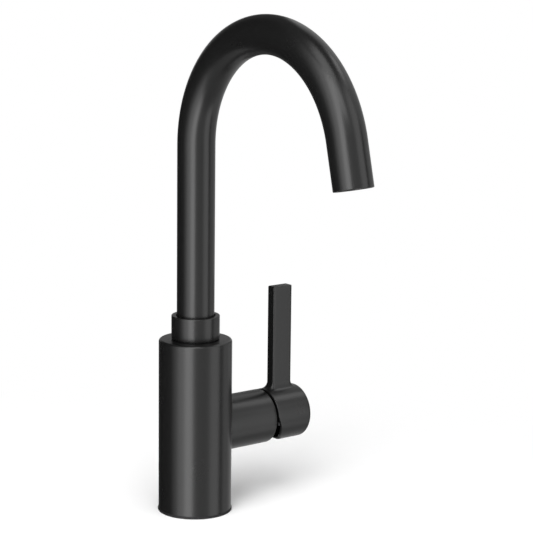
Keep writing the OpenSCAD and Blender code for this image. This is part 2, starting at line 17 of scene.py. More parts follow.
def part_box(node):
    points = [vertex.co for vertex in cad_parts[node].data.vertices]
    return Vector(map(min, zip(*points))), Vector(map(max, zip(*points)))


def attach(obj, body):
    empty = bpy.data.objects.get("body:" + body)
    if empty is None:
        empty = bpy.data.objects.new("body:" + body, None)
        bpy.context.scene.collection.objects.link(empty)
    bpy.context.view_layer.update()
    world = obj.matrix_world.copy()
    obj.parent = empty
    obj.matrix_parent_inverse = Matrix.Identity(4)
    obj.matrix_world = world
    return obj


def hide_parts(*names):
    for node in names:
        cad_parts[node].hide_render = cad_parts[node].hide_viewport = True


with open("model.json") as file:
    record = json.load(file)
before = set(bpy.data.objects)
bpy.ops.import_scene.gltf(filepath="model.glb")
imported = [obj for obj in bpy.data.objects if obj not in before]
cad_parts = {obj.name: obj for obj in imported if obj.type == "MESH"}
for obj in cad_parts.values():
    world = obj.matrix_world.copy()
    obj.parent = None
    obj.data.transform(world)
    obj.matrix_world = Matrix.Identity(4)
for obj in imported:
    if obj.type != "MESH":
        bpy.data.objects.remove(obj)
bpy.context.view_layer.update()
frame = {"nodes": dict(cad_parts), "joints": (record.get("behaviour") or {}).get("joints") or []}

MM = 0.001

# ---------------------------------------------------------------------------------------
# Brass pieces: the threaded foot plate, the waterway column, the barrel and the ring nut
# that hold the cartridge, the lever's stem, the spout's hub, the bush in the spout's end
# and the nut under the deck. All are turned or milled from bar and left bare.

nodes = frame["nodes"]


def linear(colour):
    """An sRGB hex colour as linear RGBA."""
    channels = [int(colour[i:i + 2], 16) / 255 for i in (1, 3, 5)]
    return [c / 12.92 if c <= 0.04045 else ((c + 0.055) / 1.055) ** 2.4 for c in channels] + [1]


def add_node(tree, kind, inputs=None, **settings):
    """Adds a node with its settings. Each input is a value, or a socket to link from."""
    node = tree.nodes.new(kind)
    for name, value in settings.items():
        setattr(node, name, value)
    for name, value in (inputs or {}).items():
        if isinstance(value, bpy.types.NodeSocket):
            tree.links.new(value, node.inputs[name])
        else:
            node.inputs[name].default_value = value
    return node


def start_material(name, **values):
    """A material with one Principled shader, whose constant sockets are set by name."""
    material = bpy.data.materials.new(name)
    material.use_nodes = True
    shader = material.node_tree.nodes["Principled BSDF"]
    for socket, value in values.items():
        shader.inputs[socket.replace("_", " ")].default_value = value
    place = add_node(material.node_tree, "ShaderNodeTexCoord").outputs["Object"]
    return material, material.node_tree, shader, place


def link_patterns(tree, shader, tones, gloss, relief=None):
    """Lets patterns drive the shader's colour, roughness and, if given, its relief.

    The tones are a pattern and the two colours that it runs between, the gloss is a pattern
    and its two roughnesses, and the relief is a pattern, its strength and its height.
    """
    first_colour, second_colour, mixed = 6, 7, 2  # the Mix node's own sockets for colours
    pattern, first, second = tones
    tone = add_node(
        tree, "ShaderNodeMix",
        {"Factor": pattern, first_colour: linear(first), second_colour: linear(second)},
        data_type="RGBA",
    )
    tree.links.new(tone.outputs[mixed], shader.inputs["Base Color"])
    pattern, smoothest, roughest = gloss
    sheen = add_node(
        tree, "ShaderNodeMapRange", {"Value": pattern, "To Min": smoothest, "To Max": roughest}
    )
    tree.links.new(sheen.outputs["Result"], shader.inputs["Roughness"])
    if relief:
        pattern, strength, height = relief
        bumps = add_node(
            tree, "ShaderNodeBump", {"Height": pattern, "Strength": strength, "Distance": height}
        )
        tree.links.new(bumps.outputs["Normal"], shader.inputs["Normal"])


def dress(node_name, material):
    """Gives a CAD node, which keeps its shape, its finish."""
    mesh = nodes[node_name].data
    mesh.materials.clear()
    mesh.materials.append(material)


def turned_brass():
    """Free-cutting brass, turned: tool rings catch the light, and the tone drifts a little.

    The rings are drawn coarser than real ones, so that they show.
    """
    ring_pitch = 0.6 * MM
    band_spacing = 0.3  # roughly the metres from band to band of the texture at a scale of 1
    tarnish_size = 16.7 * MM
    material, tree, shader, place = start_material("turned brass", Metallic=1.0)
    rings = add_node(
        tree, "ShaderNodeTexWave",
        {"Vector": place, "Scale": band_spacing / ring_pitch, "Distortion": 0.4},
        wave_type="BANDS", bands_direction="Z",
    ).outputs["Fac"]
    tarnish = add_node(
        tree, "ShaderNodeTexNoise", {"Vector": place, "Scale": 1 / tarnish_size, "Detail": 4.0}
    ).outputs["Fac"]
    link_patterns(
        tree, shader, (tarnish, "#c9a861", "#b3924e"), (rings, 0.24, 0.36),
        (rings, 0.25, 0.02 * MM),
    )
    return material


brass = turned_brass()
for name in (
    "base_plate", "waterway_core", "cartridge_barrel", "cartridge_nut", "lever_stem",
    "spout_hub", "outlet_bush", "mounting_nut",
):
    dress(name, brass)

# ---------------------------------------------------------------------------------------
# Steel pieces: the washer under the deck, the lever's pivot pin and the spout's screw are
# plain stainless steel with a fine lay. The handle's set screw is blackened alloy steel.


def ground_steel():
    """Stainless steel with a fine ground lay that stretches the highlights."""
    lay = 0.25 * MM
    stretch = (1.0, 1.0, 0.08)
    material, tree, shader, place = start_material("ground stainless steel", Metallic=1.0)
    stretched = add_node(tree, "ShaderNodeMapping", {"Vector": place, "Scale": stretch})
    scratches = add_node(
        tree, "ShaderNodeTexNoise",
        {"Vector": stretched.outputs["Vector"], "Scale": 1 / lay, "Detail": 2.0},
    ).outputs["Fac"]
    link_patterns(tree, shader, (scratches, "#c4c6c8", "#adb0b3"), (scratches, 0.26, 0.42))
    return material


def blackened_steel():
    """Alloy steel with a thin black oxide skin: dark, oily and a little cloudy."""
    cloud_size = 0.7 * MM
    material, tree, shader, place = start_material("blackened steel", Metallic=1.0)
    clouds = add_node(
        tree, "ShaderNodeTexNoise", {"Vector": place, "Scale": 1 / cloud_size, "Detail": 3.0}
    ).outputs["Fac"]
    link_patterns(tree, shader, (clouds, "#2c2c2e", "#3a3a3b"), (clouds, 0.38, 0.5))
    return material


steel = ground_steel()
for name in ("steel_washer", "pivot_pin", "spout_screw"):
    dress(name, steel)
dress("set_screw", blackened_steel())

# ---------------------------------------------------------------------------------------
# Rubber pieces: the washer under the deck and every seal. Moulded nitrile rubber.


def moulded_rubber():
    """Black nitrile rubber: matt, with the faint mottle of a moulded skin."""
    mottle_size = 0.8 * MM
    material, tree, shader, place = start_material(
        "moulded nitrile rubber", Specular_IOR_Level=0.25
    )
    mottle = add_node(
        tree, "ShaderNodeTexNoise", {"Vector": place, "Scale": 1 / mottle_size, "Detail": 3.0}
    ).outputs["Fac"]
    link_patterns(
        tree, shader, (mottle, "#0e0e0f", "#151516"), (mottle, 0.55, 0.7),
        (mottle, 0.2, 0.03 * MM),
    )
    return material


rubber = moulded_rubber()
for name in ("rubber_washer", "port_seals", "rotor_seal", "post_seals", "aerator_gasket"):
    dress(name, rubber)

# ---------------------------------------------------------------------------------------
# Plastic and ceramic pieces of the cartridge and the aerator. The plastics are moulded
# acetal and nylon; the two valve discs are lapped alumina.


def even_tone(name, light, dark, smoothest, roughest):
    """A moulded plastic or a fired ceramic: one even tone, with a faint pattern of its flow."""
    flow_size = 6.67 * MM
    material, tree, shader, place = start_material(name)
    flow = add_node(
        tree, "ShaderNodeTexNoise", {"Vector": place, "Scale": 1 / flow_size, "Detail": 3.0}
    ).outputs["Fac"]
    link_patterns(tree, shader, (flow, light, dark), (flow, smoothest, roughest))
    return material


# Acetal and nylon leave the mould with an eggshell gloss; lapping leaves nearly a mirror
white_acetal = even_tone("white moulded acetal", "#e9e7df", "#dedbd1", 0.34, 0.42)
grey_nylon = even_tone("grey moulded nylon", "#8f9296", "#85888c", 0.4, 0.5)
black_nylon = even_tone("black moulded nylon", "#1b1b1c", "#151516", 0.4, 0.5)
lapped_alumina = even_tone("lapped alumina", "#f3f0e8", "#ebe7dc", 0.08, 0.16)
for name in ("disc_carrier", "cartridge_housing", "stem_rotor"):
    dress(name, white_acetal)
for name in ("cartridge_base", "aerator_insert"):
    dress(name, grey_nylon)
for name in ("glide_ring", "aerator_housing"):
    dress(name, black_nylon)
for name in ("fixed_disc", "moving_disc"):
    dress(name, lapped_alumina)

# ---------------------------------------------------------------------------------------
# Gasket: a soft ring between the body and the deck, whose rounded edge shows as a thin
# dark line round the foot. Moulded nitrile rubber.


def rounded_outline(corners, steps=6):
    """A closed outline in the plane. A corner is (across, along, radius of its rounding)."""
    outline = []
    for i, (across, along, radius) in enumerate(corners):
        corner = Vector((across, along))
        if not radius:
            outline.append(corner)
            continue
        before = (Vector(corners[i - 1][:2]) - corner).normalized()
        after = (Vector(corners[(i + 1) % len(corners)][:2]) - corner).normalized()
        half = before.angle(after) / 2
        centre = corner + (before + after).normalized() * radius / math.sin(half)
        start = (corner + before * radius / math.tan(half) - centre).normalized()
        end = (corner + after * radius / math.tan(half) - centre).normalized()
        outline += [centre + radius * start.slerp(end, k / steps) for k in range(steps + 1)]
    return outline


def close_up(mesh):
    """Merges points that meet and turns every face outwards."""
    meeting = 0.002 * MM
    work = bmesh.new()
    work.from_mesh(mesh)
    bmesh.ops.remove_doubles(work, verts=work.verts, dist=meeting)
    bmesh.ops.recalc_face_normals(work, faces=work.faces)
    work.to_mesh(mesh)
    work.free()
    return mesh


def solid_mesh(name, points, faces):
    """A closed mesh from its points and faces."""
    mesh = bpy.data.meshes.new(name)
    mesh.from_pydata(points, [], faces)
    return close_up(mesh)


def full_turn(count, start=0):
    """Evenly spaced angles once round, as many as the count."""
    return [2 * math.pi * i / count + start for i in range(count)]


def turned(name, outline, segments=192, place=Matrix()):
    """The closed outline of (radius, height) points, turned round Z and then placed."""
    points, faces = [], []
    count = len(outline)
    for angle in full_turn(segments):
        for radius, height in outline:
            spot = Vector((radius * math.cos(angle), radius * math.sin(angle), height))
            points.append(place @ spot)
    for i in range(segments):
        here, there = i * count, (i + 1) % segments * count
        for k in range(count):
            after = (k + 1) % count
            faces.append((here + k, there + k, there + after, here + after))
    return solid_mesh(name, points, faces)


def set_up(name, data):
    """A new object in the scene for a mesh, a lamp or a camera."""
    item = bpy.data.objects.new(name, data)
    bpy.context.scene.collection.objects.link(item)
    return item


def add_piece(mesh, material, slot, body, *replaced):
    """Makes the mesh a piece that rides on a body and stands for the CAD nodes named last."""
    edge_angle = math.radians(32)
    mesh.materials.clear()
    mesh.materials.append(material)
    mesh.shade_smooth()
    mesh.set_sharp_from_angle(angle=edge_angle)
    piece = set_up(mesh.name, mesh)
    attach(piece, body)
    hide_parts(*replaced)


gasket_low, gasket_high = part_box("deck_gasket")
gasket_bore = 16.3 * MM
gasket_edge = 0.45 * MM
gasket = turned("soft_gasket", rounded_outline([
    (gasket_bore, gasket_low.z, 0),
    (gasket_high.x, gasket_low.z, gasket_edge),
    (gasket_high.x, gasket_high.z, gasket_edge),
    (gasket_bore, gasket_high.z, 0),
]))
add_piece(gasket, rubber, "rubber", "body", "deck_gasket")

# ---------------------------------------------------------------------------------------
# Mounting shank: a brass tube with a fine thread along its whole length, on which the nut
# is drawn up under the deck. A node tree winds the thread.


def thread_tree():
    """A hollow threaded rod along Z, made of a grid that is wrapped round it.

    The grid's rows follow the thread's helix, half a pitch apart: a crest, a root and so on.
    The first row and the last two are the bore. Rows and columns that meet are merged.
    """
    meeting = 0.01 * MM
    tree = bpy.data.node_groups.new("threaded tube", "GeometryNodeTree")
    face = tree.interface
    face.new_socket("Geometry", in_out="OUTPUT", socket_type="NodeSocketGeometry")
    for name in ("Low end", "Length", "Crest radius", "Thread depth", "Pitch", "Bore radius"):
        face.new_socket(name, in_out="INPUT", socket_type="NodeSocketFloat")
    face.new_socket("Segments", in_out="INPUT", socket_type="NodeSocketInt")
    face.new_socket("Finish", in_out="INPUT", socket_type="NodeSocketMaterial")
    given = tree.nodes.new("NodeGroupInput").outputs

    # Each sum is its result, the operation, and its terms: numbers, or results by name
    found = {socket.name: socket for socket in given}
    found["index"] = add_node(tree, "GeometryNodeInputIndex").outputs[0]
    sums = (
        # The grid's size: the thread's rows cover its length with one turn to spare
        ("half pitch", "MULTIPLY", "Pitch", 0.5),
        ("half turns", "DIVIDE", "Length", "half pitch"),
        ("whole half turns", "CEIL", "half turns"),
        ("thread rows", "ADD", "whole half turns", 3),
        ("rows", "ADD", "thread rows", 3),
        ("columns", "ADD", "Segments", 1),
        # Where a point is in the grid, and how far round that is
        ("middle", "ADD", "index", 0.5),
        ("columns before", "DIVIDE", "middle", "rows"),
        ("column", "FLOOR", "columns before"),
        ("points before", "MULTIPLY", "column", "rows"),
        ("row", "SUBTRACT", "index", "points before"),
        ("turn", "DIVIDE", "column", "Segments"),
        ("angle", "MULTIPLY", "turn", 2 * math.pi),
        # Its height on the helix, kept between the ends
        ("rows gained", "MULTIPLY", "turn", 2),
        ("rows climbed", "ADD", "rows gained", "row"),
        ("rows over the end", "SUBTRACT", "rows climbed", 3),
        ("climb", "MULTIPLY", "rows over the end", "half pitch"),
        ("over the low end", "MAXIMUM", "climb", 0),
        ("thread height", "MINIMUM", "over the low end", "Length"),
        # Its radius: crests and roots in turn, and both ends run out to the root
        ("is crest", "MODULO", "row", 2),
        ("full rise", "MULTIPLY", "is crest", "Thread depth"),
        ("to the high end", "SUBTRACT", "Length", "thread height"),
        ("to an end", "MINIMUM", "thread height", "to the high end"),
        ("rise", "MINIMUM", "to an end", "full rise"),
        ("root", "SUBTRACT", "Crest radius", "Thread depth"),
        ("thread radius", "ADD", "root", "rise"),
        # Whether it is in a row of the bore, and at which end
        ("is first", "LESS_THAN", "row", 0.5),
        ("is past thread", "GREATER_THAN", "row", "thread rows"),
        ("last but one", "ADD", "thread rows", 1),
        ("is last", "GREATER_THAN", "row", "last but one"),
        ("is bore", "MAXIMUM", "is first", "is past thread"),
        ("is low", "MAXIMUM", "is first", "is last"),
        ("is high", "SUBTRACT", "is bore", "is low"),
        ("is thread", "SUBTRACT", 1, "is bore"),
        # Its place
        ("radius on thread", "MULTIPLY", "is thread", "thread radius"),
        ("radius in bore", "MULTIPLY", "is bore", "Bore radius"),
        ("radius", "ADD", "radius on thread", "radius in bore"),
        ("height on thread", "MULTIPLY", "is thread", "thread height"),
        ("height in bore", "MULTIPLY", "is high", "Length"),
        ("height", "ADD", "height on thread", "height in bore"),
        ("cosine", "COSINE", "angle"),
        ("sine", "SINE", "angle"),
        ("x", "MULTIPLY", "radius", "cosine"),
        ("y", "MULTIPLY", "radius", "sine"),
        ("z", "ADD", "height", "Low end"),
    )
    for result, operation, *terms in sums:
        inputs = {i: found.get(term, term) for i, term in enumerate(terms)}
        found[result] = add_node(tree, "ShaderNodeMath", inputs, operation=operation).outputs[0]

    grid = add_node(
        tree, "GeometryNodeMeshGrid",
        {"Vertices X": found["columns"], "Vertices Y": found["rows"]},
    )
    spot = add_node(
        tree, "ShaderNodeCombineXYZ", {"X": found["x"], "Y": found["y"], "Z": found["z"]}
    )
    placed = add_node(
        tree, "GeometryNodeSetPosition", {"Geometry": grid.outputs[0], "Position": spot.outputs[0]}
    )
    joined = add_node(
        tree, "GeometryNodeMergeByDistance", {"Geometry": placed.outputs[0], "Distance": meeting}
    )
    real = add_node(tree, "GeometryNodeRealizeInstances", {"Geometry": joined.outputs[0]})
    finished = add_node(
        tree, "GeometryNodeSetMaterial",
        {"Geometry": real.outputs[0], "Material": found["Finish"]},
    )
    result = tree.nodes.new("NodeGroupOutput")
    tree.links.new(finished.outputs[0], result.inputs[0])
    return tree


def settled(item, name):
    """A plain mesh of the object as its modifiers leave it."""
    bpy.context.view_layer.update()
    seen = item.evaluated_get(bpy.context.evaluated_depsgraph_get())
    mesh = bpy.data.meshes.new_from_object(seen)
    mesh.name = name
    return mesh


def grown(name, tree, values):
    """The plain mesh that a node tree makes from the values of its named inputs."""
    seed = set_up("seed", bpy.data.meshes.new("seed"))
    maker = seed.modifiers.new("maker", "NODES")
    maker.node_group = tree
    for item in tree.interface.items_tree:
        if item.in_out == "INPUT":
            maker[item.identifier] = values[item.name]
    mesh = settled(seed, name)
    seed.modifiers.remove(maker)
    bpy.data.objects.remove(seed)
    return close_up(mesh)


shank_low, shank_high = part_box("mounting_shank")
shank_wall = 3 * MM
shank_thread_depth = 0.9 * MM
shank_pitch = 1.5 * MM
shank = grown("threaded_shank", thread_tree(), {
    "Low end": shank_low.z,
    "Length": shank_high.z - shank_low.z,
    "Crest radius": shank_high.x,
    "Thread depth": shank_thread_depth,
    "Pitch": shank_pitch,
    "Bore radius": shank_high.x - shank_wall,
    "Segments": 128,
    "Finish": brass,
})
add_piece(shank, brass, "brass", "body", "mounting_shank")

# ---------------------------------------------------------------------------------------
# Body: one brass casting, turned outside, with a hollow side arm for the valve. The arm
# runs into the column in a small fillet, and the column's top rim is rounded.
# Coated satin black, like every piece of the faucet that shows.


def satin_black():
    """Satin black coating: a soft, even sheen with a fine grain and hardly any colour."""
    grain_size = 0.5 * MM
    drift_size = 30 * MM
    material, tree, shader, place = start_material("satin black coating", Specular_IOR_Level=0.32)
    grain = add_node(
        tree, "ShaderNodeTexNoise", {"Vector": place, "Scale": 1 / grain_size, "Detail": 2.0}
    ).outputs["Fac"]
    drift = add_node(
        tree, "ShaderNodeTexNoise", {"Vector": place, "Scale": 1 / drift_size, "Detail": 2.0}
    ).outputs["Fac"]
    link_patterns(
        tree, shader, (grain, "#0d0d0d", "#101010"), (drift, 0.26, 0.3), (grain, 0.15, 0.01 * MM)
    )
    return material


def inside(x, y, outline):
    """Whether a point lies within a closed outline."""
    crossings = 0
    for a, b in zip(outline, outline[1:] + outline[:1]):
        if (a.y > y) != (b.y > y) and x < a.x + (y - a.y) * (b.x - a.x) / (b.y - a.y):
            crossings += 1
    return crossings % 2 == 1


def pierced_sheet(width, height, columns, rows, hole):
    """Triangles that fill a flat rectangle, centred across, except inside the hole's outline."""
    across = [width * (i / columns - 0.5) for i in range(columns + 1)]
    along = [height * k / rows for k in range(rows + 1)]
    clearance = 0.5 * width / columns
    meeting = 1e-7
    all_triangles = 0  # the kind of result that fills the convex hull of the points
    spots = [Vector(p) for p in hole]
    low = Vector((min(p.x for p in spots), min(p.y for p in spots)))
    high = Vector((max(p.x for p in spots), max(p.y for p in spots)))

    def crowds_hole(x, y):
        """Whether a point of the grid lies in the hole or close to its outline."""
        if not low.x - clearance < x < high.x + clearance:
            return False
        if not low.y - clearance < y < high.y + clearance:
            return False
        return inside(x, y, spots) or min((p - Vector((x, y))).length for p in spots) < clearance

    grid = [
        Vector((x, y)) for x in across for y in along
        if not (0 < y < height and crowds_hole(x, y))
    ]
    edges = [(i, (i + 1) % len(spots)) for i in range(len(spots))]
    result = delaunay_2d_cdt(spots + grid, edges, [], all_triangles, meeting)
    points, faces = result[0], result[2]
    kept = []
    for face in faces:
        middle = sum((points[i] for i in face), Vector((0, 0))) / len(face)
        if not inside(middle.x, middle.y, spots):
            kept.append(tuple(face))
    return points, kept


def add_row(points, spots):
    """Adds a row of points and gives their numbers."""
    points.extend(spots)
    return list(range(len(points) - len(spots), len(points)))


def stitch(faces, rows):
    """Adds quads from each closed row of point numbers to the next."""
    for first, second in zip(rows, rows[1:]):
        for i in range(len(first)):
            after = (i + 1) % len(first)
            faces.append((first[i], first[after], second[after], second[i]))


def quarter_turn(steps):
    """Angles in even steps from nothing to a right angle."""
    return [math.pi / 2 * k / steps for k in range(steps + 1)]


def cut_away(mesh, *cutters):
    """The mesh less each cutter."""
    for cutter in cutters:
        name = mesh.name
        solid, tool = set_up("solid", mesh), set_up("tool", cutter)
        cut = solid.modifiers.new("cut", "BOOLEAN")
        cut.operation = "DIFFERENCE"
        cut.solver = "EXACT"
        cut.object = tool
        mesh.name = name + "_uncut"
        mesh = settled(solid, name)
        for item in (solid, tool):
            bpy.data.objects.remove(item)
    return mesh


black = satin_black()
body_low, body_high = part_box("body_shell")
body_radius = -body_low.x
arm_end = body_high.x
valve_z = next(j["pos_m"][2] for j in frame["joints"] if j["name"] == "handle_flow")
arm_radius = 18.7 * MM
arm_edge = 0.5 * MM
arm_straight = 8 * MM
arm_fillet = 1.5 * MM
rim_radius = 1.8 * MM
body_wall = 2 * MM
top_plate = 3.5 * MM
spigot_hole = 12.05 * MM
arm_bore = 17.1 * MM
arm_ledge_bore = 15.3 * MM
arm_ledge_x = 27.05 * MM
along_valve = Matrix.Rotation(math.pi / 2, 4, "Y")
to_valve = Matrix.Translation((0, 0, valve_z)) @ along_valve
valve_segments = 144


def body_casting():
    """The column's side is a sheet round the arm's fillet; the rest is turned or swept."""
    columns, rows, fillet_steps = 224, 44, 6
    straight_steps, edge_steps, rim_steps = 4, 5, 8
    points, faces = [], []

    # The fillet is what a ball leaves as it rolls round the joint of the two cylinders
    reach = body_radius + arm_fillet
    fillet_spots = [[] for _ in range(fillet_steps + 1)]
    for angle in full_turn(valve_segments):
        out = Vector((0, math.cos(angle), math.sin(angle)))
        ball = out * (arm_radius + arm_fillet)
        ball.x = math.sqrt(reach ** 2 - ball.y ** 2)
        to_arm = -out
        to_body = -Vector((ball.x, ball.y, 0)) / reach
        for k, row in enumerate(fillet_spots):
            spot = ball + arm_fillet * to_arm.slerp(to_body, k / fillet_steps)
            row.append(spot + Vector((0, 0, valve_z)))
    fillet_rows = [add_row(points, row) for row in fillet_spots]
    stitch(faces, fillet_rows)

    side_low, side_high = body_low.z, body_high.z - rim_radius
    hole = [(body_radius * math.atan2(p.y, p.x), p.z - side_low) for p in fillet_spots[-1]]
    sheet, triangles = pierced_sheet(
        2 * math.pi * body_radius, side_high - side_low, columns, rows, hole
    )
    first = len(points)
    for spot in sheet:
        angle = spot.x / body_radius
        points.append(Vector((
            body_radius * math.cos(angle), body_radius * math.sin(angle), side_low + spot.y
        )))
    faces.extend(tuple(first + i for i in face) for face in triangles)

    # Along the arm, over its edge and across its end, which the valve's bore then opens
    arm_outline = [
        (arm_radius, arm_end - arm_edge - arm_straight * (1 - k / straight_steps))
        for k in range(straight_steps)
    ]
    arm_outline += [
        (arm_radius - arm_edge * (1 - math.cos(t)), arm_end - arm_edge * (1 - math.sin(t)))
        for t in quarter_turn(edge_steps)
    ]
    arm_rows = [fillet_rows[0]]
    for radius, x in arm_outline:
        arm_rows.append(add_row(points, [
            Vector((x, radius * math.cos(a), valve_z + radius * math.sin(a)))
            for a in full_turn(valve_segments)
        ]))
    stitch(faces, arm_rows)
    faces.append(tuple(arm_rows[-1]))

    # Over the column's rim, in at the spigot's hole and down the hollow inside
    cavity = body_radius - body_wall
    column_outline = [
        (body_radius - rim_radius * (1 - math.cos(t)), body_high.z - rim_radius * (1 - math.sin(t)))
        for t in quarter_turn(rim_steps)
    ]
    column_outline += [
        (spigot_hole, body_high.z), (spigot_hole, body_high.z - top_plate),
        (cavity, body_high.z - top_plate), (cavity, body_low.z), (body_radius, body_low.z),
    ]
    stitch(faces, [
        add_row(points, [
            Vector((radius * math.cos(a), radius * math.sin(a), z))
            for a in full_turn(columns, -math.pi)
        ])
        for radius, z in column_outline
    ])

    past_end = arm_end + 5 * MM
    valve_bore = turned("valve_bore", [
        (0, 0), (arm_ledge_bore, 0), (arm_ledge_bore, arm_ledge_x),
        (arm_bore, arm_ledge_x), (arm_bore, past_end), (0, past_end),
    ], valve_segments, to_valve)
    return cut_away(solid_mesh("body_casting", points, faces), valve_bore)


add_piece(body_casting(), black, "black_finish", "body", "body_shell")

# ---------------------------------------------------------------------------------------
# Bonnet cap: a pressed brass cap that hides the cartridge's nut at the arm's end. It only
# shows in the gap between the arm and the handle.

cap_low, cap_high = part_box("bonnet_cap")
cap_radius = cap_high.y
cap_bore = cap_radius - 1.3 * MM
cap_roof = 2 * MM
cap_round = 2 * MM
cap_opening = 10.1 * MM
cap_opening_edge = 0.3 * MM
bonnet = turned("bonnet", rounded_outline([
    (cap_bore, cap_low.x, 0),
    (cap_radius, cap_low.x, 0),
    (cap_radius, cap_high.x, cap_round),
    (cap_opening, cap_high.x, cap_opening_edge),
    (cap_opening, cap_high.x - cap_roof, 0),
    (cap_bore, cap_high.x - cap_roof, 0),
]), valve_segments, to_valve)
add_piece(bonnet, black, "black_finish", "body", "bonnet_cap")

# ---------------------------------------------------------------------------------------
# Handle: a zinc die casting. A hollow round hub carries a flat blade that grows out of it
# in soft fillets, and the hub's inner rim is cut back below, so that it clears the arm
# when the lever is lifted. It sits on the square stem and is locked by a set screw.

handle_low, handle_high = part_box("handle")
hub_radius = handle_high.y
hub_start, hub_end = handle_low.x, handle_high.x
hub_edge = 0.4 * MM
hub_round = 2.3 * MM
hub_hollow = hub_radius - 1.6 * MM
hub_floor = hub_end - 7.6 * MM
boss_radius = 7.35 * MM
blade_start = hub_start + 5.8 * MM
blade_width, blade_thickness = 16 * MM, 7.1 * MM
blade_edge = 0.9 * MM
blade_top_edge = 0.8 * MM
fillet_inner, fillet_outer, fillet_side = 5 * MM, 4.5 * MM, 6 * MM
socket_side = 7.1 * MM
socket_end = hub_floor - 1.75 * MM
set_screw_x = hub_floor - 6.3 * MM
set_screw_hole = 2.55 * MM
plug_hole, plug_depth = 3.05 * MM, 1.1 * MM


def rim_x(height):
    """Where the hub's inner rim lies at a height over the valve's axis: cut back below."""
    knee, foot = (4.8 * MM, -12.8 * MM), (10.3 * MM, -hub_radius)
    top = 2.5 * MM
    if height > top:
        return hub_start
    if height > knee[1]:
        return hub_start + knee[0] * (top - height) / (top - knee[1])
    return hub_start + knee[0] + (foot[0] - knee[0]) * (knee[1] - height) / (knee[1] - foot[1])


def on_hub(x, radius, angle):
    """A point round the valve's axis; the angle runs from straight up towards +Y."""
    return Vector((x, radius * math.sin(angle), valve_z + radius * math.cos(angle)))


def blade_outline():
    """Points of the blade's section with their outward directions, in X and Y."""
    middle = blade_start + blade_width / 2
    half_x, half_y = blade_width / 2 - blade_edge, blade_thickness / 2 - blade_edge
    corner_steps, long_steps, short_steps = 6, 14, 5
    corners = [(1, 1), (-1, 1), (-1, -1), (1, -1)]
    outline = []
    for quarter, (across, along) in enumerate(corners):
        for k in range(corner_steps + 1):
            angle = math.pi / 2 * (quarter + k / corner_steps)
            out = Vector((math.cos(angle), math.sin(angle)))
            corner = Vector((middle + across * half_x, along * half_y))
            outline.append((corner + blade_edge * out, out))
        next_across, next_along = corners[(quarter + 1) % len(corners)]
        side = Vector(((next_across - across) * half_x, (next_along - along) * half_y))
        steps = long_steps if along == next_along else short_steps
        start = outline[-1][0]
        outline += [(start + side * k / steps, out) for k in range(1, steps)]
    return outline


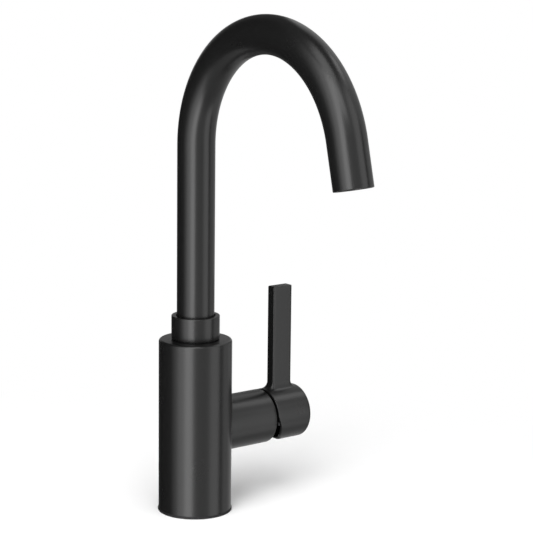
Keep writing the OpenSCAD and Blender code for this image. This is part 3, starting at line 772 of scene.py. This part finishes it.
def lever_handle():
    """The hub's side is a sheet round the blade's fillet; the rest is turned or swept."""
    columns, rows, fillet_steps, blade_rows = 176, 44, 8, 24
    top_steps, round_steps, edge_steps = 5, 8, 5
    points, faces = [], []

    # Blade and its fillet: at each point of the outline a ball lies against blade and hub
    outline = blade_outline()
    fillet_spots = [[] for _ in range(fillet_steps + 1)]
    for spot, out in outline:
        end_fillet = fillet_outer if out.x > 0 else fillet_inner
        ball_radius = fillet_side + (end_fillet - fillet_side) * abs(out.x)
        reach = hub_radius + ball_radius
        ball = Vector((spot.x, spot.y, 0)) + ball_radius * Vector((out.x, out.y, 0))
        ball.z = math.sqrt(reach ** 2 - ball.y ** 2)
        to_blade = -Vector((out.x, out.y, 0))
        to_hub = -Vector((0, ball.y, ball.z)) / reach
        for k, row in enumerate(fillet_spots):
            touch = ball + ball_radius * to_blade.slerp(to_hub, k / fillet_steps)
            row.append(touch + Vector((0, 0, valve_z)))
    fillet_rows = [add_row(points, row) for row in fillet_spots]
    stitch(faces, fillet_rows)
    blade_rings = [fillet_rows[0]]
    straight_top = handle_high.z - blade_top_edge
    for k in range(1, blade_rows + 1):
        blade_rings.append(add_row(points, [
            Vector((low.x, low.y, low.z + (straight_top - low.z) * k / blade_rows))
            for low in fillet_spots[0]
        ]))
    for turn in quarter_turn(top_steps)[1:]:
        inset, rise = blade_top_edge * (1 - math.cos(turn)), blade_top_edge * math.sin(turn)
        blade_rings.append(add_row(points, [
            Vector((spot.x - inset * out.x, spot.y - inset * out.y, straight_top + rise))
            for spot, out in outline
        ]))
    stitch(faces, blade_rings)
    faces.append(tuple(blade_rings[-1]))

    # Hub's side, between the rim's rounding and the outer end's
    side_end = hub_end - hub_round
    length = side_end - hub_start

    def side_start(angle):
        """Where the side starts at an angle round the hub."""
        return rim_x(hub_radius * math.cos(angle)) + hub_edge

    hole = []
    for touch in fillet_spots[-1]:
        angle = math.atan2(touch.y, touch.z - valve_z)
        share = (touch.x - side_start(angle)) / (side_end - side_start(angle))
        hole.append((hub_radius * angle, share * length))
    sheet, triangles = pierced_sheet(2 * math.pi * hub_radius, length, columns, rows, hole)
    first = len(points)
    for spot in sheet:
        angle = spot.x / hub_radius
        start = side_start(angle)
        points.append(on_hub(start + (side_end - start) * spot.y / length, hub_radius, angle))
    faces.extend(tuple(first + i for i in face) for face in triangles)

    # Outer end, then the rim, the hollow and the boss inside
    angles = full_turn(columns, -math.pi)
    end_rows = []
    for turn in quarter_turn(round_steps):
        x = side_end + hub_round * math.sin(turn)
        radius = hub_radius - hub_round * (1 - math.cos(turn))
        end_rows.append(add_row(points, [on_hub(x, radius, a) for a in angles]))
    stitch(faces, end_rows)
    faces.append(tuple(end_rows[-1]))
    inner_rows = []
    for turn in quarter_turn(edge_steps):
        radius = hub_radius - hub_edge * (1 - math.cos(turn))
        step = hub_edge * (1 - math.sin(turn))
        inner_rows.append(add_row(points, [
            on_hub(rim_x(radius * math.cos(a)) + step, radius, a) for a in angles
        ]))
    inner_rows.append(add_row(points, [
        on_hub(rim_x(hub_hollow * math.cos(a)), hub_hollow, a) for a in angles
    ]))
    for radius, x in (
        (hub_hollow, hub_floor), (boss_radius, hub_floor), (boss_radius, blade_start),
    ):
        inner_rows.append(add_row(points, [on_hub(x, radius, a) for a in angles]))
    stitch(faces, inner_rows)
    faces.append(tuple(inner_rows[-1]))

    # The stem's square socket, and the set screw's hole with the wider seat of its plug
    overrun = 2 * MM
    socket_start, socket_corner = blade_start - overrun, socket_side / math.sqrt(2)
    socket = turned("socket", [
        (0, socket_start), (socket_corner, socket_start),
        (socket_corner, socket_end), (0, socket_end),
    ], 4, to_valve @ Matrix.Rotation(math.pi / 4, 4, "Z"))
    hub_bottom = valve_z - hub_radius
    screw_hole = turned("screw_hole", [
        (0, hub_bottom - overrun), (plug_hole, hub_bottom - overrun),
        (plug_hole, hub_bottom + plug_depth), (set_screw_hole, hub_bottom + plug_depth),
        (set_screw_hole, valve_z), (0, valve_z),
    ], 48, Matrix.Translation((set_screw_x, 0, 0)))
    return cut_away(solid_mesh("lever_handle", points, faces), socket, screw_hole)


add_piece(lever_handle(), black, "black_finish", "lever", "handle")
dress("set_screw_plug", black_nylon)

# ---------------------------------------------------------------------------------------
# Spout collar: a turned brass ring round the foot of the gooseneck, with rounded edges, an
# open groove where the tube goes in, and a hole at the back for the spout's screw.

collar_low, collar_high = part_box("spout_collar")
collar_radius = collar_high.x
collar_edge = 0.5 * MM
collar_groove, collar_groove_depth = 0.7 * MM, 2 * MM
groove_edge = 0.2 * MM
tube_low, tube_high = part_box("spout_tube")
tube_radius = tube_high.x
tube_fit = 0.05 * MM
foot_recess = 15.05 * MM
spout_screw_z = 128.7 * MM
spout_screw_hole = 2.05 * MM


def screw_bore():
    """The bore of the spout's screw, through the collar and the tube on the +Y side."""
    start, end = 8.5 * MM, 20 * MM
    to_screw = Matrix.Translation((0, 0, spout_screw_z)) @ Matrix.Rotation(-math.pi / 2, 4, "X")
    return turned("screw_bore", [
        (0, start), (spout_screw_hole, start), (spout_screw_hole, end), (0, end),
    ], 48, to_screw)


groove_radius, groove_floor = tube_radius + collar_groove, collar_high.z - collar_groove_depth
collar_bore, collar_ledge = tube_radius + tube_fit, tube_low.z + tube_fit
collar = turned("collar", rounded_outline([
    (foot_recess, collar_low.z, 0),
    (collar_radius, collar_low.z, collar_edge),
    (collar_radius, collar_high.z, collar_edge),
    (groove_radius, collar_high.z, groove_edge),
    (groove_radius, groove_floor, 0),
    (collar_bore, groove_floor, 0),
    (collar_bore, collar_ledge, 0),
    (foot_recess, collar_ledge, 0),
]))
add_piece(cut_away(collar, screw_bore()), black, "black_finish", "spout", "spout_collar")

# ---------------------------------------------------------------------------------------
# Gooseneck: one drawn brass tube, bent on a mandrel to a wide arch and cut square at the
# outlet, where its lip is rounded.

tube_wall = 1.5 * MM
tube_bore = tube_radius - tube_wall
bend_z = 251.2 * MM
bend_radius = 77.8 * MM
bend_angle = math.radians(166.4)
outlet_length = 29.3 * MM
lip_radius = 0.6 * MM
riser_length = bend_z - tube_low.z
bend_length = bend_radius * bend_angle
spout_length = riser_length + bend_length + outlet_length


def along_spout(distance):
    """The tube's centre and its outward direction at a distance from its foot."""
    past_riser = distance - riser_length
    angle = min(max(past_riser / bend_radius, 0), bend_angle)
    out = Vector((0, math.cos(angle), math.sin(angle)))
    ahead = Vector((0, -math.sin(angle), math.cos(angle)))
    centre = Vector((0, -bend_radius, bend_z)) + bend_radius * out
    straight = min(past_riser, 0) + max(past_riser - bend_length, 0)
    return centre + straight * ahead, out


def gooseneck():
    """Rings of points up the outside, over the lip and back down the bore."""
    ring_count, bend_rings = 112, 132
    stops = [0, riser_length / 2]
    stops += [riser_length + bend_length * i / bend_rings for i in range(bend_rings + 1)]
    lip = rounded_outline([
        (tube_radius, spout_length, lip_radius), (tube_bore, spout_length, lip_radius),
        (tube_bore, 0, 0), (tube_radius, 0, 0),
    ])[:-2]
    stations = [(tube_radius, stop) for stop in stops]
    stations += lip
    stations += [(tube_bore, stop) for stop in reversed(stops)]
    points, faces, rings = [], [], []
    for radius, distance in stations:
        centre, out = along_spout(distance)
        rings.append(add_row(points, [
            centre + radius * (Vector((math.cos(a), 0, 0)) + math.sin(a) * out)
            for a in full_turn(ring_count)
        ]))
    stitch(faces, rings + rings[:1])
    return cut_away(solid_mesh("gooseneck", points, faces), screw_bore())


add_piece(gooseneck(), black, "black_finish", "spout", "spout_tube")

# ---------------------------------------------------------------------------------------
# Studio: a pale floor at the deck's height that keeps the faucet's soft shadow, a white
# surround, soft boxes round the faucet, and the camera at the photograph's view.


def studio_floor():
    """Matt white board near the faucet, which fades into the white surround further out."""
    fade_start, fade_end = 0.1, 0.35
    radius = 6.0
    sheet = bpy.data.meshes.new("floor")
    work = bmesh.new()
    bmesh.ops.create_circle(work, cap_ends=True, segments=96, radius=radius)
    work.to_mesh(sheet)
    work.free()
    material, tree, shader, place = start_material("matt white board", Roughness=0.9)
    shader.inputs["Base Color"].default_value = linear("#f6f6f6")
    distance = add_node(tree, "ShaderNodeVectorMath", {0: place}, operation="LENGTH")
    far = add_node(
        tree, "ShaderNodeMapRange",
        {"Value": distance.outputs["Value"], "From Min": fade_start, "From Max": fade_end},
        interpolation_type="SMOOTHSTEP",
    )
    path = add_node(tree, "ShaderNodeLightPath").outputs
    seen = path["Is Camera Ray"]
    for ray in ("Is Glossy Ray", "Is Transmission Ray"):
        seen = add_node(
            tree, "ShaderNodeMath", {0: seen, 1: path[ray]}, operation="MAXIMUM"
        ).outputs[0]
    share = add_node(
        tree, "ShaderNodeMath", {0: seen, 1: far.outputs["Result"]}, operation="MULTIPLY"
    )
    white = add_node(tree, "ShaderNodeEmission", {"Color": (1, 1, 1, 1), "Strength": 1.0})
    both = add_node(tree, "ShaderNodeMixShader", {0: share.outputs[0]})
    tree.links.new(shader.outputs[0], both.inputs[1])
    tree.links.new(white.outputs[0], both.inputs[2])
    tree.links.new(both.outputs[0], tree.nodes["Material Output"].inputs["Surface"])
    sheet.materials.append(material)
    floor = set_up("floor", sheet)
    floor.visible_glossy = False
    floor.visible_shadow = False


studio_floor()

camera_bearing = -36.25
studio_radius = 1.6
studio_low, studio_high = -1.4, 2.6


def towards(bearing):
    """The level direction at a bearing, which runs from the camera's side towards +X."""
    turn = math.radians(camera_bearing + bearing)
    return Vector((math.sin(turn), -math.cos(turn), 0))


def area_lamp(name, width, height, radiance, place):
    """A lamp that shines straight down and that the camera doesn't see."""
    watts_per_square_metre = 4  # for a radiance of 1
    light = bpy.data.lights.new(name, "AREA")
    light.shape = "RECTANGLE"
    light.size, light.size_y = width, height
    light.energy = watts_per_square_metre * radiance * width * height
    lamp = set_up(name, light)
    lamp.location = place
    lamp.visible_camera = False
    return lamp


def softbox(name, bearing, angle, radiance, low=studio_low, high=studio_high):
    """A tall soft box that faces the faucet from a bearing and spans an angle of its view."""
    back = towards(bearing)
    width = 2 * studio_radius * math.tan(math.radians(angle / 2))
    place = back * studio_radius + Vector((0, 0, (low + high) / 2))
    lamp = area_lamp(name, width, high - low, radiance, place)
    lamp.rotation_euler = back.to_track_quat("Z", "Y").to_euler()


softbox("key", -20, 26, 4.1)
softbox("key_side", -45, 24, 1.6)
softbox("key_top", 8, 34, 3.0, low=1.2)
softbox("fill", 64, 36, 1.1, high=2.0)
softbox("side", 116, 40, 1.8, low=1.7)

overhead_size, overhead_radiance = 1.4, 2.6
overhead_forward, overhead_gap = 0.9, 0.02
overhead_place = towards(0) * overhead_forward + Vector((0, 0, studio_high - overhead_gap))
area_lamp("overhead", overhead_size, overhead_size, overhead_radiance, overhead_place)


def card(name, level, points, faces):
    """A card that only reflections see, as grey boards beside a product. Level 1 is white."""
    material = bpy.data.materials.new(name)
    material.use_nodes = True
    tree = material.node_tree
    tree.nodes.remove(tree.nodes["Principled BSDF"])
    glow = add_node(tree, "ShaderNodeEmission", {"Strength": level})
    tree.links.new(glow.outputs[0], tree.nodes["Material Output"].inputs["Surface"])
    mesh = bpy.data.meshes.new(name)
    mesh.from_pydata(points, [], faces)
    mesh.materials.append(material)
    board = set_up(name, mesh)
    board.visible_camera = False
    board.visible_diffuse = False
    board.visible_transmission = False
    board.visible_shadow = False


def flag(name, level, start, end, low=studio_low, high=studio_high):
    """An upright curved card round part of the faucet, from one bearing to another."""
    steps = 24
    rim = [towards(start + (end - start) * i / steps) * studio_radius for i in range(steps + 1)]
    points = [p + Vector((0, 0, z)) for z in (low, high) for p in rim]
    card(name, level, points, [(i, i + 1, steps + 2 + i, steps + 1 + i) for i in range(steps)])


def disc(name, level, height):
    """A flat round card over or under the faucet."""
    segments = 48
    points = [
        Vector((studio_radius * math.cos(a), studio_radius * math.sin(a), height))
        for a in full_turn(segments)
    ]
    card(name, level, points, [tuple(range(segments))])


flag("left_flag", 0.02, -150, -74)
flag("low_back_board", 0.09, 172, 210, high=0.24)
flag("back_board", 0.4, 172, 210, low=0.24, high=0.68)
flag("high_back_board", 0.09, 172, 210, low=0.68)
flag("right_flag", 0.0, 80, 94, low=-0.8, high=0.8)
flag("right_board", 0.6, 112, 172, high=0.95)
flag("high_right_board", 0.8, 128, 166, low=0.95)
disc("grey_ceiling", 0.13, studio_high)
ground_lift = 0.01
disc("ground", 0.55, studio_low + ground_lift)

# The surround is white to the camera and in reflections, and dimmer where it lights the faucet
world = bpy.data.worlds.new("surround")
bpy.context.scene.world = world
world.use_nodes = True
sky = world.node_tree
diffuse_ray = add_node(sky, "ShaderNodeLightPath").outputs["Is Diffuse Ray"]
strength = add_node(
    sky, "ShaderNodeMapRange", {"Value": diffuse_ray, "To Min": 1.0, "To Max": 0.4}
)
background = sky.nodes["Background"]
background.inputs["Color"].default_value = (1, 1, 1, 1)
sky.links.new(strength.outputs["Result"], background.inputs["Strength"])

bpy.context.scene.view_settings.view_transform = "Standard"

camera_distance = 1318.59 * MM
camera_height = 421.15 * MM
yaw, pitch, roll = math.radians(2.06), math.radians(10.81), math.radians(0.63)
focal_pixels, frame_pixels = 2000, 533

outward = towards(0)
up = Vector((0, 0, 1))
forward = -outward * math.cos(yaw) + (-outward).cross(up) * math.sin(yaw)
right = forward.cross(up)
ahead = forward * math.cos(pitch) - up * math.sin(pitch)
above = right.cross(ahead)
lens = bpy.data.cameras.new("camera")
lens.sensor_width = 36
lens.lens = focal_pixels * lens.sensor_width / frame_pixels
lens.clip_end = 50
camera = set_up("camera", lens)
tilted_right = right * math.cos(roll) + above * math.sin(roll)
tilted_above = above * math.cos(roll) - right * math.sin(roll)
turned_view = Matrix((tilted_right, tilted_above, -ahead)).transposed()
camera_spot = outward * camera_distance + up * camera_height
camera.matrix_world = Matrix.Translation(camera_spot) @ turned_view.to_4x4()
bpy.context.scene.camera = camera
